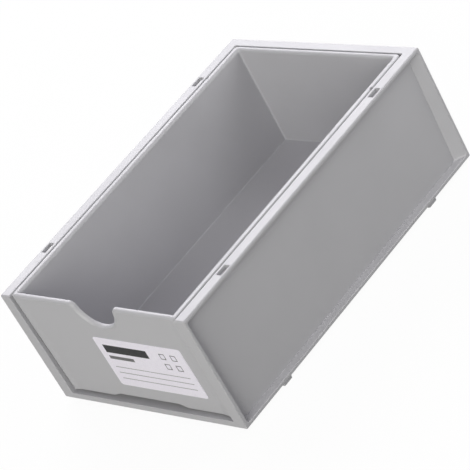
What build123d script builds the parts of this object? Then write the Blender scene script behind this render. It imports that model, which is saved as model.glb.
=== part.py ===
from build123d import *
import math
import os

# Stackable desk box with one drawer: a case that is open at the top and the front, a drawer and its label.
# Millimetres and degrees. +Z is up and the front faces -Y.
# The origin is the middle of the plane of the peg feet.

# Case, measured at its rim
case_width = 120.0
case_depth = 186.0
case_height = 64.5
case_draft = 0.5
case_edge_radius = 0.5
rim_edge_radius = 0.8
base_edge_radius = 0.6
floor_rise = 3.4
floor_thickness = 1.8
front_bar = 2.4
base_pocket_radius = 2.0

# Opening for the drawer, and the rims beside it
opening_draft = 1.2
opening_corner_radius = 0.8
opening_edge_radius = 0.4
side_rim_width = 6.0
rear_rim_width = 5.1

# Recessed outer panels, the flanges round them and the slanted webs at the rear corners
case_wall = 2.5
rim_thickness = 1.9
base_flange = 1.9
front_flange = 1.4
rear_flange = 1.5
web_slant = 50.0
recess_corner_radius = 1.0
flange_edge_radius = 0.4

# Stacking slots in the rim, and the pegs that fit them
slot_width = 3.1
slot_length = 6.4
slot_corner_radius = 0.4
slot_mouth_radius = 0.3
slot_edge_distance = 3.05
slot_spacing = 120.0
peg_height = 2.0
peg_play = 0.2
peg_taper = 4.0
peg_corner_radius = 0.3

# Drawer, measured at its rim
front_inset = 0.75
side_gap = 0.75
rear_gap = 0.5
running_gap = 0.25
front_wall = 2.4
side_wall = 3.3
rear_wall = 2.4
drawer_front_radius = 1.8
drawer_rear_radius = 2.0
drawer_inner_radius = 0.8
drawer_root_radius = 0.4
drawer_lip_radius = 1.7
drawer_edge_radius = 0.6
drawer_rim_radius = 1.6
drawer_floor_height = 5.6
drawer_floor_thickness = 2.0
drawer_skirt = 2.2

# Finger notch in the drawer's front
notch_radius = 12.5
notch_corner_radius = 3.0

# Field of the drawer's front, sunk between borders at its sides, its top and the notch
field_depth = 0.5
side_border = 5.65
field_side_slope = 3.2
field_top_slope = 0.8
lip_height = 1.7

# Lower edge of the drawer's front, with its relief
front_clearance = 1.7
front_raise_depth = 12.0
relief_height = 1.7
relief_width = 48.0
relief_top_width = 39.0
drawer_lower_radius = 0.2

# Nick in each side of the drawer's rim
nick_offset = 3.0
nick_length = 1.4
nick_depth = 0.9
nick_height = 0.9

# Label
label_width = 56.0
label_height = 30.0
label_thickness = 0.2
label_corner_radius = 1.5
label_margin = 4.6
label_centre_height = 31.2

cut_overrun = 1.0
upright_tolerance = 5.0

# Levels, and faces at the rim
base_z = peg_height
rim_z = base_z + case_height
floor_z = base_z + floor_rise
case_front = -case_depth / 2
case_rear = case_depth / 2
opening_width = case_width - 2 * side_rim_width
opening_rear = case_rear - rear_rim_width
drawer_width = opening_width - 2 * side_gap
field_width = drawer_width - 2 * side_border
drawer_front = case_front + front_inset
drawer_rear = opening_rear - rear_gap
skirt_z = floor_z + running_gap
drawer_floor_z = floor_z + drawer_floor_height


def leaned(level, draft):
    """How far a face that leans in by the draft below the rim has come in at this level."""
    return (rim_z - level) * math.tan(math.radians(draft))


def drafted_block(width, front, rear, top, bottom, angle):
    """Block with the given sizes at the rim's level, whose four sides lean in below it."""
    plan = Rectangle(width, rear - front)
    block = Pos(0, (front + rear) / 2, bottom) * extrude(plan, top - bottom)
    sides = block.faces().sort_by(Axis.Z)[1:-1]
    return draft(sides, Plane.XY.offset(rim_z), -angle)


def upright_edges(part):
    """Edges that stand up, allowing for the draft, in order from front to rear."""
    return part.edges().filter_by(Axis.Z, tolerance=upright_tolerance).sort_by(Axis.Y)


def rim_edges(part):
    """Edges of the rim that run from front to rear, in order from the middle outwards."""
    return part.edges().group_by(Axis.Z)[-1].filter_by(Axis.Y).sort_by(lambda edge: abs(edge.center().X))


def recess_cutters():
    """Recesses of the right, left and rear panels. They leave a slanted web at each rear corner."""
    low = base_z + base_flange
    height = case_height - rim_thickness - base_flange
    inner_x = opening_width / 2
    outer_x = case_width / 2 + cut_overrun
    outer_y = case_rear + cut_overrun
    front = case_front + front_flange
    slope = math.tan(math.radians(web_slant))
    web_rise = case_wall / math.cos(math.radians(web_slant))

    def side_end(x):
        return case_rear - rear_flange + (x - case_width / 2) * slope

    def rear_end(y):
        return case_width / 2 + (y - case_rear + rear_flange - web_rise) / slope

    side_plan = Polygon(
        (inner_x, front),
        (outer_x, front),
        (outer_x, side_end(outer_x)),
        (inner_x, side_end(inner_x)),
        align=None,
    )
    near_x = rear_end(opening_rear)
    far_x = rear_end(outer_y)
    rear_plan = Polygon(
        (-near_x, opening_rear),
        (near_x, opening_rear),
        (far_x, outer_y),
        (-far_x, outer_y),
        align=None,
    )
    walls = drafted_block(
        opening_width + 2 * case_wall,
        case_front - cut_overrun,
        opening_rear + case_wall,
        rim_z,
        base_z,
        opening_draft,
    )
    side = Pos(0, 0, low) * extrude(side_plan, height)
    side = draft(side.faces().sort_by(Axis.Y)[:1], Plane.XY.offset(rim_z), -opening_draft)
    side_corners = side.edges().filter_by(lambda edge: abs(edge.center().Z - low - height / 2) > height / 4)
    side_corners = side_corners.filter_by(Axis.Y, reverse=True)
    side = fillet(side_corners, recess_corner_radius) - walls
    rear = Pos(0, 0, low) * extrude(rear_plan, height)
    rear_corners = rear.edges().filter_by(Axis.Z, reverse=True).filter_by(Axis.X, reverse=True)
    rear = fillet(rear_corners, recess_corner_radius) - walls
    return [side, mirror(side, Plane.YZ), rear]


def stacking_places(level):
    """The four places of the slots and the pegs, at one level."""
    spread = case_width - 2 * slot_edge_distance
    return Pos(0, 0, level) * GridLocations(spread, slot_spacing, 2, 2)


def stacking_peg():
    """Peg that tapers to its foot and enters a slot with play all round."""
    narrowing = peg_height * math.tan(math.radians(peg_taper))
    plans = []
    for level, inset in ((-peg_height, narrowing), (0, 0)):
        width = slot_width - 2 * peg_play - inset
        length = slot_length - 2 * peg_play - 2 * inset
        plans.append(Pos(0, 0, level) * RectangleRounded(width, length, peg_corner_radius))
    return loft(plans)


def make_case():
    body = drafted_block(case_width, case_front, case_rear, rim_z, base_z, case_draft)
    opening_front = case_front - leaned(floor_z, opening_draft) - cut_overrun
    opening_top = rim_z + cut_overrun
    opening = drafted_block(opening_width, opening_front, opening_rear, opening_top, floor_z, opening_draft)
    body -= fillet(upright_edges(opening)[-2:], opening_corner_radius)

    corners = [edge for edge in upright_edges(body) if abs(edge.center().X) > opening_width / 2]
    body = fillet(corners, case_edge_radius)
    body = fillet(rim_edges(body)[-1], rim_edge_radius)
    body = fillet(body.edges().group_by(Axis.Z)[0], base_edge_radius)
    floor_edges = body.edges().filter_by(Axis.X).group_by(lambda edge: abs(edge.center().Z - floor_z))[0]
    body = fillet([*rim_edges(body)[:2], floor_edges.sort_by(Axis.Y)[0]], opening_edge_radius)

    body -= recess_cutters()
    faces = body.faces().filter_by(GeomType.PLANE)
    recessed = [faces.sort_by(Axis.X)[0], faces.sort_by(Axis.X)[-1], faces.sort_by(Axis.Y)[-1]]
    mouths = [edge for face in recessed for wire in face.inner_wires() for edge in wire.edges()]
    body = fillet(mouths, flange_edge_radius)

    inset = leaned(floor_z, opening_draft)
    pocket_front = case_front + front_bar
    pocket_rear = opening_rear - inset
    pocket_plan = RectangleRounded(opening_width - 2 * inset, pocket_rear - pocket_front, base_pocket_radius)
    pocket = extrude(pocket_plan, floor_rise - floor_thickness)
    body -= Pos(0, (pocket_front + pocket_rear) / 2, base_z) * pocket

    slot_plan = RectangleRounded(slot_width, slot_length, slot_corner_radius)
    before = body
    body -= stacking_places(rim_z - rim_thickness) * extrude(slot_plan, rim_thickness)
    cut_edges = body.edges() - before.edges()
    mouths = cut_edges.filter_by_position(Axis.Z, rim_z - rim_thickness / 4, rim_z + cut_overrun)
    body = fillet(mouths, slot_mouth_radius)
    body += stacking_places(base_z) * stacking_peg()
    return body


def front_cut(outline, depth):
    """Cutter through the drawer's front wall, from an outline seen from the front."""
    start = Plane(origin=(0, drawer_front - cut_overrun, 0), x_dir=(1, 0, 0), z_dir=(0, -1, 0))
    return extrude(start * outline, -depth - cut_overrun)


def front_plane():
    """Leaning plane of the borders of the drawer's front, with its origin at the rim."""
    lean = math.radians(opening_draft)
    normal = (0, -math.cos(lean), -math.sin(lean))
    return Plane(origin=(0, drawer_front, rim_z), x_dir=(1, 0, 0), z_dir=normal)


def field_cutter():
    """Sunk field of the drawer's front. Its sides and top slope, and it stays clear of the notch."""
    below = rim_z - skirt_z + cut_overrun
    reach = (field_depth + cut_overrun) / field_depth
    half = field_width / 2
    side_reach = half + field_side_slope * reach
    across = Polygon(
        (-half, -field_depth),
        (half, -field_depth),
        (side_reach, cut_overrun),
        (-side_reach, cut_overrun),
        align=None,
    )
    along = Polygon(
        (-below, -field_depth),
        (-lip_height, -field_depth),
        (field_top_slope * reach - lip_height, cut_overrun),
        (-below, cut_overrun),
        align=None,
    )
    bar = extrude(Plane.XZ * across, -below)
    bar = Pos(0, -below, 0) * bar
    beam = extrude(Plane.YZ * along, side_reach, both=True)
    notch_base = notch_radius + lip_height
    collar = Cone(
        notch_base,
        notch_base - field_top_slope * reach,
        field_depth + cut_overrun,
        align=(Align.CENTER, Align.CENTER, Align.MIN),
    )
    return front_plane() * ((bar & beam) - Pos(0, 0, -field_depth) * collar)


def make_drawer():
    block = drafted_block(drawer_width, drawer_front, drawer_rear, rim_z, skirt_z, opening_draft)
    uprights = upright_edges(block)
    shell = fillet(uprights[:2], drawer_front_radius)
    shell = fillet(upright_edges(shell)[-2:], drawer_rear_radius)
    shell = fillet(rim_edges(shell)[-1], drawer_edge_radius)

    notched = block - front_cut(Pos(0, rim_z) * Circle(notch_radius), front_wall + cut_overrun)
    notch_corners = notched.edges().filter_by(Axis.Y).group_by(Axis.Z)[-1].sort_by(Axis.Y)[:2]
    notched = fillet(notch_corners, notch_corner_radius)
    lip_edges = notched.edges().group_by(Axis.Z)[-1].filter_by(Axis.X).sort_by(Axis.Y)
    body = shell & fillet(lip_edges[0], drawer_lip_radius)

    inner_face = front_plane().offset(-front_wall)
    panel = split(body, bisect_by=inner_face, keep=Keep.TOP)
    hollow = drafted_block(
        drawer_width - 2 * side_wall,
        drawer_front,
        drawer_rear - rear_wall,
        rim_z + cut_overrun,
        drawer_floor_z,
        opening_draft,
    )
    hollow = fillet(upright_edges(hollow)[-2:], drawer_inner_radius)
    hollow = fillet(hollow.faces().sort_by(Axis.Z)[0].edges(), drawer_root_radius)
    tub = split(body, bisect_by=inner_face, keep=Keep.BOTTOM) - hollow
    body = panel + fillet(rim_edges(tub)[:2], drawer_rim_radius)

    under = drafted_block(
        drawer_width - 2 * drawer_skirt,
        drawer_front + drawer_skirt,
        drawer_rear - drawer_skirt,
        drawer_floor_z - drawer_floor_thickness,
        skirt_z - cut_overrun,
        opening_draft,
    )
    body -= under

    edge_z = floor_z + front_clearance
    relief_z = edge_z + relief_height
    body -= front_cut(Pos(0, skirt_z) * Rectangle(case_width, 2 * (edge_z - skirt_z)), front_raise_depth)
    half_base = relief_width / 2
    half_top = relief_top_width / 2
    relief = Polygon(
        (-half_base, skirt_z),
        (half_base, skirt_z),
        (half_base, edge_z),
        (half_top, relief_z),
        (-half_top, relief_z),
        (-half_base, edge_z),
        align=None,
    )
    body -= front_cut(relief, leaned(edge_z, opening_draft) + drawer_skirt + cut_overrun)

    body -= field_cutter()
    fronts = body.faces().filter_by(lambda face: face.center().Y < drawer_front + front_wall)
    field = fronts.sort_by(SortBy.AREA)[-1]
    lower_edges = field.edges().filter_by_position(Axis.Z, skirt_z, relief_z + cut_overrun)
    body = fillet(lower_edges, drawer_lower_radius)

    nick = Box(2 * nick_depth, nick_length, 2 * nick_height)
    nick_y = slot_spacing / 2 + nick_offset
    return body - Locations((-drawer_width / 2, nick_y, rim_z), (drawer_width / 2, nick_y, rim_z)) * nick


def make_label():
    """Sticker that lies on the field of the drawer's front, near the field's right edge."""
    centre = field_width / 2 - label_margin - label_width / 2
    drop = (rim_z - label_centre_height) / math.cos(math.radians(opening_draft))
    outline = RectangleRounded(label_width, label_height, label_corner_radius)
    return front_plane() * Pos(centre, -drop, -field_depth) * extrude(outline, label_thickness)


os.makedirs("parts", exist_ok=True)
export_step(make_case(), "parts/outer_case.step")
export_step(make_drawer(), "parts/drawer.step")
export_step(make_label(), "parts/front_label.step")
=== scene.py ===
import math

import bpy
from mathutils import Matrix, Vector


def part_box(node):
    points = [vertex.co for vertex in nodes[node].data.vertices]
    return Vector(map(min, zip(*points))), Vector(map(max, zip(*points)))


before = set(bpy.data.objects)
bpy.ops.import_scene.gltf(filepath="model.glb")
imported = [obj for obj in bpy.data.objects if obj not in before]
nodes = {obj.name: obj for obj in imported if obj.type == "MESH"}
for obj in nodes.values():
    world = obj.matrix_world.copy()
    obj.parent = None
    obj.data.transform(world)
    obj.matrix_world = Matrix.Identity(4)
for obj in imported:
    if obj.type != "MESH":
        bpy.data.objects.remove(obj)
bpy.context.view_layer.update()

# Camera, from the photograph: degrees and metres, and the focal length in pixels of the photograph
PHOTO_SIZE = 470
FOCAL_PIXELS = 2834.0
VIEW_AZIMUTH = 54.93
VIEW_ELEVATION = 30.84
VIEW_ROLL = -29.59
VIEW_DISTANCE = 1.322
VIEW_TARGET = Vector((-0.0129, 0.0037, 0.0227))
SENSOR_WIDTH = 36.0

# Colours of the light, all close to white
BACK_LIGHT = (1.0, 0.99, 1.02)
TOP_LIGHT = (1.0, 0.96, 1.08)
FRONT_LIGHT = (1.0, 1.0, 0.93)
SIDE_LIGHT = (1.0, 1.0, 0.98)

# Soft boxes: azimuth and elevation in degrees, distance and size in metres, watts and colour
LAMPS = {
    "back": (230, 32, 2.0, 1.5, 38.0, BACK_LIGHT),
    "back_left": (260, 42, 2.0, 1.0, 4.0, BACK_LIGHT),
    "top": (270, 72, 2.0, 1.0, 2.6, TOP_LIGHT),
    "high": (35, 60, 2.0, 0.8, 3.2, TOP_LIGHT),
    "front": (25, 22, 2.0, 1.4, 33.0, FRONT_LIGHT),
    "front_right": (70, 32, 2.0, 0.8, 2.2, SIDE_LIGHT),
    "right": (142, 31, 0.7, 0.5, 2.3, SIDE_LIGHT),
}

# Floor: its colour as it lights the object and as it is seen, its side in metres,
# and the share of plain white in what is seen of it
FLOOR_COLOUR = (0.3, 0.3, 0.3)
FLOOR_SEEN_COLOUR = (0.85, 0.85, 0.85)
FLOOR_SIZE = 12.0
BACKGROUND_SHARE = 0.95
WHITE = (1, 1, 1, 1)

# Plastic: two close shades in soft patches, with a fine moulded grain. Lengths in metres
PLASTIC_DARK = (0.412, 0.409, 0.434)
PLASTIC_LIGHT = (0.430, 0.427, 0.453)
PLASTIC_ROUGHNESS = (0.42, 0.50)
PATCH_LENGTH = 0.03
PATCH_DETAIL = 3
GRAIN_LENGTH = 0.0005
GRAIN_DEPTH = 0.000001
GRAIN_DETAIL = 2

# Label paper, with fine fibres
PAPER_DARK = (0.80, 0.77, 0.865)
PAPER_LIGHT = (0.86, 0.83, 0.925)
PAPER_ROUGHNESS = (0.5, 0.6)
PAPER_SPECULAR = 0.25
FIBRE_LENGTH = 0.0009
FIBRE_DEPTH = 0.00001
FIBRE_DETAIL = 4

# Generic form printed on the label: left, right, lower and upper ends from the label's centre
INK_COLOUR = (0.012, 0.012, 0.013)
BAR_COLOUR = (0.13, 0.13, 0.135)
RULE_COLOUR = (0.25, 0.25, 0.26)
HEADER = (-0.024, 0.004, 0.0060, 0.0108)
BAR = (-0.024, -0.008, 0.0020, 0.0040)
RULE_LEVELS = (-0.0030, -0.0066, -0.0102)
RULE_ENDS = (-0.024, 0.024)
RULE_WIDTH = 0.0004
TICK_SIZE = 0.0034
TICK_LINE = 0.0004
TICK_COLUMNS = (0.0138, 0.0208)
TICK_ROWS = (0.0088, 0.0026)

# Values that noise mostly keeps to, and the colour sockets of a Mix node
NOISE_ENDS = (0.3, 0.7)
MIX_COLOUR_INPUTS = (6, 7)
MIX_COLOUR_OUTPUT = 2


def direction(azimuth, elevation):
    """Unit vector from the object to a viewer. Azimuth 0 is in front of it, and 90 is on its right."""
    a = math.radians(azimuth)
    e = math.radians(elevation)
    return Vector((math.cos(e) * math.sin(a), -math.cos(e) * math.cos(a), math.sin(e)))


def placed(data, name, target, side, distance):
    """New object for a camera or lamp that looks at the target from the given side."""
    item = bpy.data.objects.new(name, data)
    turn = side.to_track_quat("Z", "Y").to_matrix().to_4x4()
    item.matrix_world = Matrix.Translation(target + distance * side) @ turn
    bpy.context.scene.collection.objects.link(item)
    return item


def add_camera():
    """Camera at the photograph's viewing angle."""
    data = bpy.data.cameras.new("photo_camera")
    data.sensor_width = SENSOR_WIDTH
    data.lens = FOCAL_PIXELS / PHOTO_SIZE * SENSOR_WIDTH
    side = direction(VIEW_AZIMUTH, VIEW_ELEVATION)
    camera = placed(data, "photo_camera", VIEW_TARGET, side, VIEW_DISTANCE)
    camera.matrix_world = camera.matrix_world @ Matrix.Rotation(math.radians(VIEW_ROLL), 4, "Z")
    bpy.context.scene.camera = camera


def add_lamp(name, azimuth, elevation, distance, size, power, colour):
    """Square soft box that faces the object from the given side."""
    data = bpy.data.lights.new(name, "AREA")
    data.size = size
    data.energy = power
    data.color = colour
    placed(data, name, Vector(), direction(azimuth, elevation), distance)


def math_node(tree, operation, *values):
    """Math node whose inputs are links or plain numbers."""
    node = tree.nodes.new("ShaderNodeMath")
    node.operation = operation
    for socket, value in zip(node.inputs, values):
        if isinstance(value, (int, float)):
            socket.default_value = value
        else:
            tree.links.new(value, socket)
    return node.outputs[0]


def seen_directly(tree):
    """1 for what the camera sees, also in a mirror or through glass, and 0 for the light on the object."""
    path = tree.nodes.new("ShaderNodeLightPath")
    seen = math_node(tree, "MAXIMUM", path.outputs["Is Camera Ray"], path.outputs["Is Glossy Ray"])
    return math_node(tree, "MAXIMUM", seen, path.outputs["Is Transmission Ray"])


def add_world():
    """Room beyond the lamps: white where it is seen, and dark as a light."""
    world = bpy.data.worlds.new("studio")
    bpy.context.scene.world = world
    world.use_nodes = True
    tree = world.node_tree
    background = tree.nodes["Background"]
    background.inputs["Color"].default_value = WHITE
    tree.links.new(seen_directly(tree), background.inputs["Strength"])


def add_floor():
    """Pale floor. What is seen of it is nearly plain white, and keeps a faint shadow."""
    bpy.ops.mesh.primitive_plane_add(size=FLOOR_SIZE)
    floor = bpy.context.object
    floor.name = "floor"
    material = bpy.data.materials.new("floor_white")
    material.use_nodes = True
    tree = material.node_tree
    tree.nodes.clear()
    output = tree.nodes.new("ShaderNodeOutputMaterial")
    diffuse = tree.nodes.new("ShaderNodeBsdfDiffuse")
    seen = seen_directly(tree)
    tree.links.new(mixed(tree, seen, FLOOR_COLOUR, FLOOR_SEEN_COLOUR), diffuse.inputs["Color"])
    white = tree.nodes.new("ShaderNodeEmission")
    mix = tree.nodes.new("ShaderNodeMixShader")
    tree.links.new(math_node(tree, "MULTIPLY", seen, BACKGROUND_SHARE), mix.inputs["Fac"])
    tree.links.new(diffuse.outputs[0], mix.inputs[1])
    tree.links.new(white.outputs[0], mix.inputs[2])
    tree.links.new(mix.outputs[0], output.inputs["Surface"])
    floor.data.materials.append(material)


def new_material(name):
    """Material with its node tree, its shader and the place on the object as a link."""
    material = bpy.data.materials.new(name)
    material.use_nodes = True
    tree = material.node_tree
    place = tree.nodes.new("ShaderNodeTexCoord").outputs["Object"]
    return material, tree, tree.nodes["Principled BSDF"], place


def noise(tree, place, length, detail):
    """Noise with lumps of about the given length."""
    node = tree.nodes.new("ShaderNodeTexNoise")
    node.inputs["Scale"].default_value = 1 / length
    node.inputs["Detail"].default_value = detail
    tree.links.new(place, node.inputs["Vector"])
    return node.outputs[0]


def mixed(tree, share, first, second):
    """Colour between two others, which are links or plain colours."""
    node = tree.nodes.new("ShaderNodeMix")
    node.data_type = "RGBA"
    tree.links.new(share, node.inputs["Factor"])
    for index, colour in zip(MIX_COLOUR_INPUTS, (first, second)):
        if isinstance(colour, tuple):
            node.inputs[index].default_value = (*colour, 1)
        else:
            tree.links.new(colour, node.inputs[index])
    return node.outputs[MIX_COLOUR_OUTPUT]


def ranged(tree, value, ends):
    """Noise value spread between the two ends."""
    node = tree.nodes.new("ShaderNodeMapRange")
    node.inputs["From Min"].default_value = NOISE_ENDS[0]
    node.inputs["From Max"].default_value = NOISE_ENDS[1]
    node.inputs["To Min"].default_value = ends[0]
    node.inputs["To Max"].default_value = ends[1]
    tree.links.new(value, node.inputs["Value"])
    return node.outputs[0]


def roughen(tree, shader, height, depth):
    """Relief of the given depth on the surface."""
    bump = tree.nodes.new("ShaderNodeBump")
    bump.inputs["Distance"].default_value = depth
    tree.links.new(height, bump.inputs["Height"])
    tree.links.new(bump.outputs["Normal"], shader.inputs["Normal"])


def plastic(name):
    """Satin grey moulding."""
    material, tree, shader, place = new_material(name)
    patches = noise(tree, place, PATCH_LENGTH, PATCH_DETAIL)
    grain = noise(tree, place, GRAIN_LENGTH, GRAIN_DETAIL)
    colour = mixed(tree, ranged(tree, patches, (0, 1)), PLASTIC_DARK, PLASTIC_LIGHT)
    tree.links.new(colour, shader.inputs["Base Color"])
    tree.links.new(ranged(tree, patches, PLASTIC_ROUGHNESS), shader.inputs["Roughness"])
    roughen(tree, shader, grain, GRAIN_DEPTH)
    return material


def within(tree, value, low, high):
    """1 where the value lies between two limits, and 0 elsewhere."""
    return math_node(tree, "COMPARE", value, (low + high) / 2, (high - low) / 2)


def block(tree, u, v, ends):
    """Mask of an upright rectangle."""
    return math_node(tree, "MULTIPLY", within(tree, u, *ends[:2]), within(tree, v, *ends[2:]))


def either(tree, masks):
    """Mask of all the given masks together."""
    result = masks[0]
    for mask in masks[1:]:
        result = math_node(tree, "MAXIMUM", result, mask)
    return result


def square(u, v, size):
    """Ends of a square about a point."""
    return (u - size / 2, u + size / 2, v - size / 2, v + size / 2)


def rule_mask(tree, u, v):
    """Ruled lines to write on."""
    half = RULE_WIDTH / 2
    return either(tree, [block(tree, u, v, (*RULE_ENDS, z - half, z + half)) for z in RULE_LEVELS])


def tick_box_mask(tree, u, v):
    """Outlines of the tick boxes."""
    boxes = []
    for column in TICK_COLUMNS:
        for row in TICK_ROWS:
            outer = block(tree, u, v, square(column, row, TICK_SIZE))
            inner = block(tree, u, v, square(column, row, TICK_SIZE - 2 * TICK_LINE))
            boxes.append(math_node(tree, "SUBTRACT", outer, inner))
    return either(tree, boxes)


def printed_label(name):
    """Paper with a header, a bar, ruled lines and tick boxes, and no words."""
    material, tree, shader, place = new_material(name)
    low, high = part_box("front_label")
    axes = tree.nodes.new("ShaderNodeSeparateXYZ")
    tree.links.new(place, axes.inputs[0])
    u = math_node(tree, "SUBTRACT", axes.outputs["X"], (low[0] + high[0]) / 2)
    v = math_node(tree, "SUBTRACT", axes.outputs["Z"], (low[2] + high[2]) / 2)
    fibres = noise(tree, place, FIBRE_LENGTH, FIBRE_DETAIL)

    colour = mixed(tree, ranged(tree, fibres, (0, 1)), PAPER_DARK, PAPER_LIGHT)
    colour = mixed(tree, rule_mask(tree, u, v), colour, RULE_COLOUR)
    colour = mixed(tree, block(tree, u, v, BAR), colour, BAR_COLOUR)
    ink = either(tree, [block(tree, u, v, HEADER), tick_box_mask(tree, u, v)])
    colour = mixed(tree, ink, colour, INK_COLOUR)

    tree.links.new(colour, shader.inputs["Base Color"])
    tree.links.new(ranged(tree, fibres, PAPER_ROUGHNESS), shader.inputs["Roughness"])
    shader.inputs["Specular IOR Level"].default_value = PAPER_SPECULAR
    roughen(tree, shader, fibres, FIBRE_DEPTH)
    return material


def dress(node, material):
    """Gives a node its material."""
    data = nodes[node].data
    data.materials.clear()
    data.materials.append(material)


bpy.context.scene.view_settings.view_transform = "Standard"
add_camera()
add_world()
add_floor()
for name, lamp in LAMPS.items():
    add_lamp(name, *lamp)

dress("outer_case", plastic("case_plastic"))
dress("drawer", plastic("drawer_plastic"))
dress("front_label", printed_label("label_paper"))
